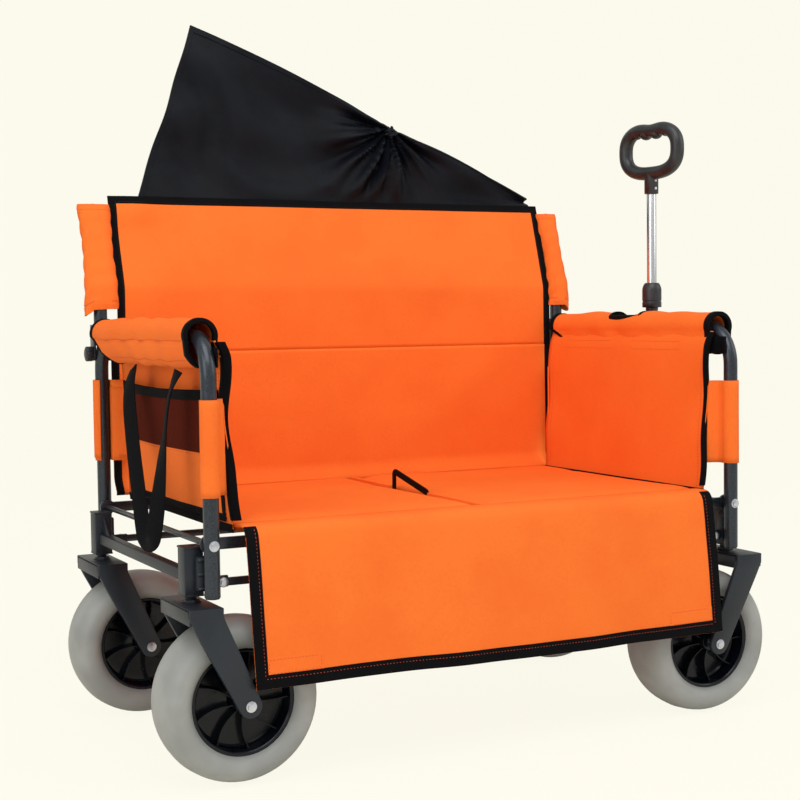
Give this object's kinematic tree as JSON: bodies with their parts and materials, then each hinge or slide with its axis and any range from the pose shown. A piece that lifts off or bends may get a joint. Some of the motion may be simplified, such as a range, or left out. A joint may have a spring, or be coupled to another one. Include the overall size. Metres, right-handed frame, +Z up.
{
  "type": "folding wagon bench",
  "caption": "Folding utility wagon standing as a bench: bent tube ends on swivel casters, folding side bars, boarded cloth seat, reclined cloth back, front flap and telescopic pull handle.",
  "frame": {"origin": "under the middle of the whole wagon, on the ground", "axes": "X along the bench towards the pull handle, Y from the sitter's knees to the back, Z up"},
  "size_m": [0.886, 0.5362, 0.9876],
  "materials": {
    "left_end_tube": "hammered paint",
    "left_end_rail": "hammered paint",
    "left_axle_frame": "satin paint",
    "left_end_wall": "matt coated cloth",
    "left_armrest": "matt coated cloth",
    "left_mesh_pocket": "open mesh",
    "left_carry_loop": "woven webbing",
    "lower_back_cloth": "matt coated cloth",
    "right_end_tube": "hammered paint",
    "right_end_rail": "hammered paint",
    "right_axle_frame": "satin paint",
    "right_end_wall": "matt coated cloth",
    "right_armrest": "matt coated cloth",
    "handle_bracket": "satin",
    "handle_clip": "satin",
    "left_front_upper_link": "satin paint",
    "left_rear_upper_link": "satin paint",
    "left_front_lower_link": "satin paint",
    "left_rear_lower_link": "satin paint",
    "left_seat_board": "matt coated cloth",
    "left_front_fork": "satin paint",
    "left_front_axle_bolt": "zinc plated",
    "left_front_tyre": "matt",
    "left_front_hub": "gloss",
    "left_rear_fork": "satin paint",
    "left_rear_axle_bolt": "zinc plated",
    "left_rear_tyre": "matt",
    "left_rear_hub": "gloss",
    "right_front_upper_link": "satin paint",
    "right_rear_upper_link": "satin paint",
    "right_front_lower_link": "satin paint",
    "right_rear_lower_link": "satin paint",
    "right_seat_board": "matt coated cloth",
    "right_front_fork": "satin paint",
    "right_front_axle_bolt": "zinc plated",
    "right_front_tyre": "matt",
    "right_front_hub": "gloss",
    "right_rear_fork": "satin paint",
    "right_rear_axle_bolt": "zinc plated",
    "right_rear_tyre": "matt",
    "right_rear_hub": "gloss",
    "centre_bridge": "satin paint",
    "seat_pull_strap": "woven webbing",
    "front_flap_cloth": "matt coated cloth",
    "left_upright_tube": "hammered paint",
    "left_back_hinge": "satin",
    "left_back_knob": "satin",
    "upper_back_cloth": "matt coated cloth",
    "black_cover": "satin coated cloth",
    "right_upright_tube": "hammered paint",
    "right_back_hinge": "satin",
    "right_back_knob": "satin",
    "handle_tube": "satin paint",
    "handle_collar": "satin",
    "handle_inner_rod": "bright",
    "handle_grip": "satin",
    "right_front_brake_pedal": "satin",
    "right_rear_brake_pedal": "satin"
  },
  "bodies": {
    "left_end": {"left_end_tube": "left_end_tube", "left_end_rail": "left_end_rail", "left_axle_frame": "left_axle_frame", "left_end_wall": "left_end_wall", "left_armrest": "left_armrest", "left_mesh_pocket": "left_mesh_pocket", "left_carry_loop": "left_carry_loop", "lower_back_cloth": "lower_back_cloth"},
    "right_end": {"right_end_tube": "right_end_tube", "right_end_rail": "right_end_rail", "right_axle_frame": "right_axle_frame", "right_end_wall": "right_end_wall", "right_armrest": "right_armrest", "handle_bracket": "handle_bracket", "handle_clip": "handle_clip"},
    "left_upper_links": {"left_front_upper_link": "left_front_upper_link", "left_rear_upper_link": "left_rear_upper_link"},
    "left_lower_links": {"left_front_lower_link": "left_front_lower_link", "left_rear_lower_link": "left_rear_lower_link"},
    "left_seat": {"left_seat_board": "left_seat_board"},
    "left_front_caster": {"left_front_fork": "left_front_fork", "left_front_axle_bolt": "left_front_axle_bolt"},
    "left_front_wheel": {"left_front_tyre": "left_front_tyre", "left_front_hub": "left_front_hub"},
    "left_rear_caster": {"left_rear_fork": "left_rear_fork", "left_rear_axle_bolt": "left_rear_axle_bolt"},
    "left_rear_wheel": {"left_rear_tyre": "left_rear_tyre", "left_rear_hub": "left_rear_hub"},
    "right_upper_links": {"right_front_upper_link": "right_front_upper_link", "right_rear_upper_link": "right_rear_upper_link"},
    "right_lower_links": {"right_front_lower_link": "right_front_lower_link", "right_rear_lower_link": "right_rear_lower_link"},
    "right_seat": {"right_seat_board": "right_seat_board"},
    "right_front_caster": {"right_front_fork": "right_front_fork", "right_front_axle_bolt": "right_front_axle_bolt"},
    "right_front_wheel": {"right_front_tyre": "right_front_tyre", "right_front_hub": "right_front_hub"},
    "right_rear_caster": {"right_rear_fork": "right_rear_fork", "right_rear_axle_bolt": "right_rear_axle_bolt"},
    "right_rear_wheel": {"right_rear_tyre": "right_rear_tyre", "right_rear_hub": "right_rear_hub"},
    "centre": {"centre_bridge": "centre_bridge", "seat_pull_strap": "seat_pull_strap"},
    "front_flap": {"front_flap_cloth": "front_flap_cloth"},
    "left_upright": {"left_upright_tube": "left_upright_tube", "left_back_hinge": "left_back_hinge", "left_back_knob": "left_back_knob", "upper_back_cloth": "upper_back_cloth", "black_cover": "black_cover"},
    "right_upright": {"right_upright_tube": "right_upright_tube", "right_back_hinge": "right_back_hinge", "right_back_knob": "right_back_knob"},
    "handle": {"handle_tube": "handle_tube", "handle_collar": "handle_collar"},
    "handle_rod": {"handle_inner_rod": "handle_inner_rod", "handle_grip": "handle_grip"},
    "right_front_brake": {"right_front_brake_pedal": "right_front_brake_pedal"},
    "right_rear_brake": {"right_rear_brake_pedal": "right_rear_brake_pedal"}
  },
  "joints": [
    {"name": "frame_fold", "type": "hinge", "parent": "left_end", "child": "left_upper_links", "pos_m": [-0.38, -0.01478, 0.29], "axis": [0, -1, 0], "range_deg": [0, 70], "deforming": ["lower_back_cloth", "upper_back_cloth", "black_cover", "front_flap_cloth"]},
    {"name": "left_lower_fold", "type": "hinge", "parent": "left_end", "child": "left_lower_links", "pos_m": [-0.362, -0.01478, 0.244], "axis": [0, -1, 0], "range_deg": [0, 70]},
    {"name": "centre_level", "type": "hinge", "parent": "left_upper_links", "child": "centre", "pos_m": [-0.03, -0.01478, 0.29], "axis": [0, -1, 0], "range_deg": [-70, 0]},
    {"name": "right_upper_fold", "type": "hinge", "parent": "centre", "child": "right_upper_links", "pos_m": [0.03, -0.01478, 0.29], "axis": [0, -1, 0], "range_deg": [-70, 0]},
    {"name": "right_lower_fold", "type": "hinge", "parent": "centre", "child": "right_lower_links", "pos_m": [0.012, -0.01478, 0.244], "axis": [0, -1, 0], "range_deg": [-70, 0]},
    {"name": "right_end_level", "type": "hinge", "parent": "right_upper_links", "child": "right_end", "pos_m": [0.38, -0.01478, 0.29], "axis": [0, -1, 0], "range_deg": [0, 70]},
    {"name": "left_seat_fold", "type": "hinge", "parent": "left_end", "child": "left_seat", "pos_m": [-0.343, -0.01478, 0.3116], "axis": [0, -1, 0], "range_deg": [0, 75]},
    {"name": "right_seat_fold", "type": "hinge", "parent": "right_end", "child": "right_seat", "pos_m": [0.343, -0.01478, 0.3116], "axis": [0, -1, 0], "range_deg": [-75, 0]},
    {"name": "front_flap_lift", "type": "hinge", "parent": "centre", "child": "front_flap", "pos_m": [0, -0.21808, 0.3116], "axis": [-1, 0, 0], "range_deg": [0, 95]},
    {"name": "backrest_fold", "type": "hinge", "parent": "left_end", "child": "left_upright", "pos_m": [-0.38, 0.20772, 0.507], "axis": [-1, 0, 0], "range_deg": [0, 129]},
    {"name": "right_backrest_fold", "type": "hinge", "parent": "right_end", "child": "right_upright", "pos_m": [0.38, 0.20772, 0.507], "axis": [-1, 0, 0], "range_deg": [0, 129]},
    {"name": "handle_fold", "type": "hinge", "parent": "right_end", "child": "handle", "pos_m": [0.4225, -0.01478, 0.262], "axis": [0, 1, 0], "range_deg": [0, 100]},
    {"name": "handle_slide", "type": "slide", "parent": "handle", "child": "handle_rod", "axis": [0, 0, 1], "range_m": [-0.118, 0.15]},
    {"name": "left_front_swivel", "type": "hinge", "parent": "left_end", "child": "left_front_caster", "pos_m": [-0.395, -0.20478, 0.22], "axis": [0, 0, 1], "continuous": true},
    {"name": "left_front_roll", "type": "hinge", "parent": "left_front_caster", "child": "left_front_wheel", "pos_m": [-0.343, -0.20478, 0.1], "axis": [0, 1, 0], "continuous": true},
    {"name": "left_rear_swivel", "type": "hinge", "parent": "left_end", "child": "left_rear_caster", "pos_m": [-0.395, 0.17522, 0.22], "axis": [0, 0, 1], "continuous": true},
    {"name": "left_rear_roll", "type": "hinge", "parent": "left_rear_caster", "child": "left_rear_wheel", "pos_m": [-0.343, 0.17522, 0.1], "axis": [0, 1, 0], "continuous": true},
    {"name": "right_front_swivel", "type": "hinge", "parent": "right_end", "child": "right_front_caster", "pos_m": [0.395, -0.20478, 0.22], "axis": [0, 0, 1], "continuous": true},
    {"name": "right_front_roll", "type": "hinge", "parent": "right_front_caster", "child": "right_front_wheel", "pos_m": [0.343, -0.20478, 0.1], "axis": [0, 1, 0], "continuous": true},
    {"name": "right_rear_swivel", "type": "hinge", "parent": "right_end", "child": "right_rear_caster", "pos_m": [0.395, 0.17522, 0.22], "axis": [0, 0, 1], "continuous": true},
    {"name": "right_rear_roll", "type": "hinge", "parent": "right_rear_caster", "child": "right_rear_wheel", "pos_m": [0.343, 0.17522, 0.1], "axis": [0, 1, 0], "continuous": true},
    {"name": "right_front_brake_press", "type": "hinge", "parent": "right_front_caster", "child": "right_front_brake", "pos_m": [0.405, -0.20478, 0.201], "axis": [0, 1, 0], "range_deg": [0, 12]},
    {"name": "right_rear_brake_press", "type": "hinge", "parent": "right_rear_caster", "child": "right_rear_brake", "pos_m": [0.405, 0.17522, 0.201], "axis": [0, 1, 0], "range_deg": [0, 12]}
  ],
  "couplings": [
    {"joint": "left_lower_fold", "follows": "frame_fold", "ratio": 1},
    {"joint": "centre_level", "follows": "frame_fold", "ratio": -1},
    {"joint": "right_upper_fold", "follows": "frame_fold", "ratio": -1},
    {"joint": "right_lower_fold", "follows": "frame_fold", "ratio": -1},
    {"joint": "right_end_level", "follows": "frame_fold", "ratio": 1},
    {"joint": "left_seat_fold", "follows": "frame_fold", "ratio": 1.07},
    {"joint": "right_seat_fold", "follows": "frame_fold", "ratio": -1.07},
    {"joint": "right_backrest_fold", "follows": "backrest_fold", "ratio": 1}
  ]
}
